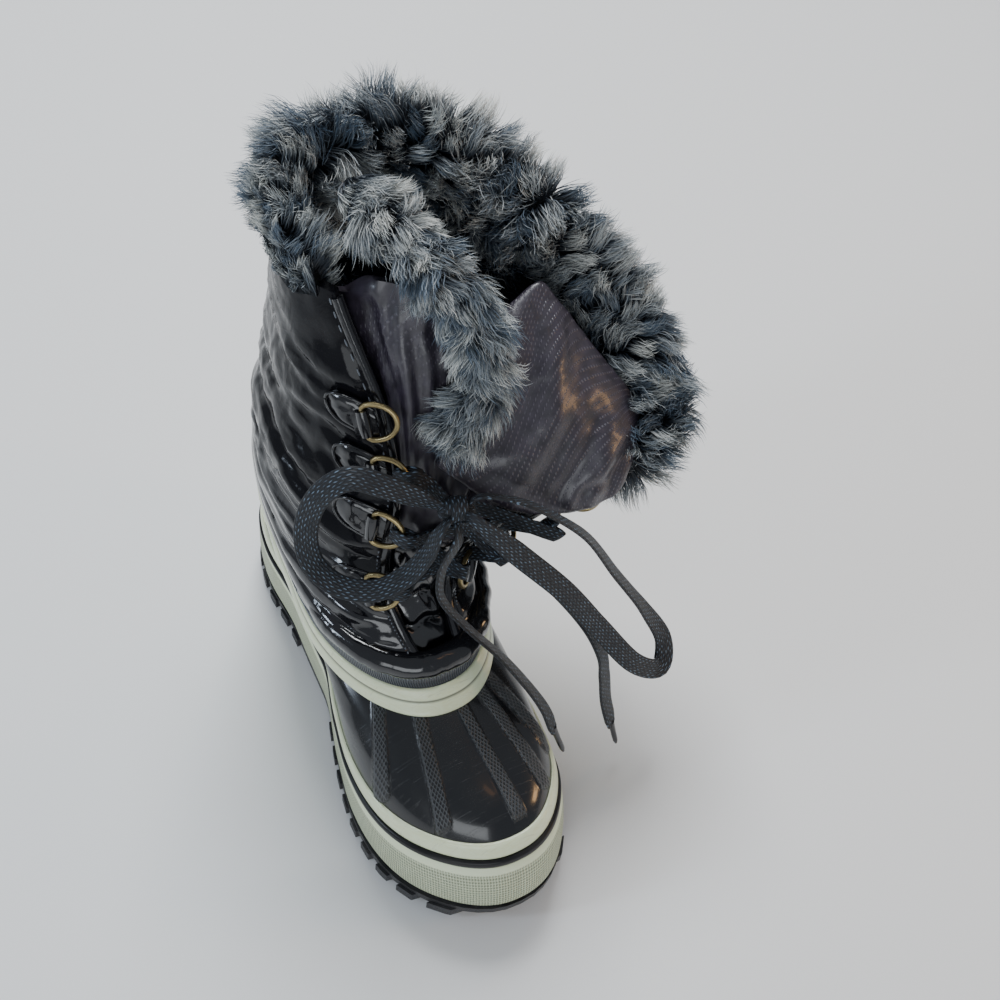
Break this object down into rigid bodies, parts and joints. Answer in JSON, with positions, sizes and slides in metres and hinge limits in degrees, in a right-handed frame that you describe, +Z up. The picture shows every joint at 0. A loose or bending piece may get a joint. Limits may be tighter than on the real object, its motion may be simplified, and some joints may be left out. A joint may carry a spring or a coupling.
{
  "type": "snow boot",
  "caption": "Left duck-style snow boot with rubber shell, lugged sole, padded lace-up upper, splayed tongue and fur cuff.",
  "frame": {"origin": "on the floor, under the middle of the heel", "axes": "+Z up, -Y towards the toe, +X towards the outer (little-toe) side of this left boot"},
  "size_m": [0.2063, 0.2841, 0.3106],
  "materials": {
    "black_rubber": "glossy moulded rubber",
    "cream_rubber": "satin moulded rubber",
    "dark_satin": "sheen satin",
    "black_patent": "high gloss patent",
    "charcoal_fur": "long soft pile",
    "black_cord": "flat woven braid",
    "aged_brass": "antique satin",
    "felt": "matt felt"
  },
  "bodies": {
    "root": {"outsole": "black_rubber", "insole": "felt", "shell": "black_rubber", "rand": "cream_rubber", "throat_trim": "cream_rubber", "upper": "dark_satin", "tongue": "dark_satin", "fur_cuff": "charcoal_fur", "tongue_fur": "charcoal_fur", "lace_crossings": "black_cord", "lace_knot": "black_cord", "lace_loop_medial": "black_cord", "lace_loop_lateral": "black_cord", "lace_end_front": "black_cord", "lace_end_side": "black_cord", "aglet_front": "black_patent", "aglet_side": "black_patent", "tab_medial_1": "black_patent", "ring_medial_1": "aged_brass", "tab_medial_2": "black_patent", "ring_medial_2": "aged_brass", "tab_medial_3": "black_patent", "ring_medial_3": "aged_brass", "tab_medial_4": "black_patent", "ring_medial_4": "aged_brass", "tab_lateral_1": "black_patent", "ring_lateral_1": "aged_brass", "tab_lateral_2": "black_patent", "ring_lateral_2": "aged_brass", "tab_lateral_3": "black_patent", "ring_lateral_3": "aged_brass", "tab_lateral_4": "black_patent", "ring_lateral_4": "aged_brass"}
  },
  "joints": []
}
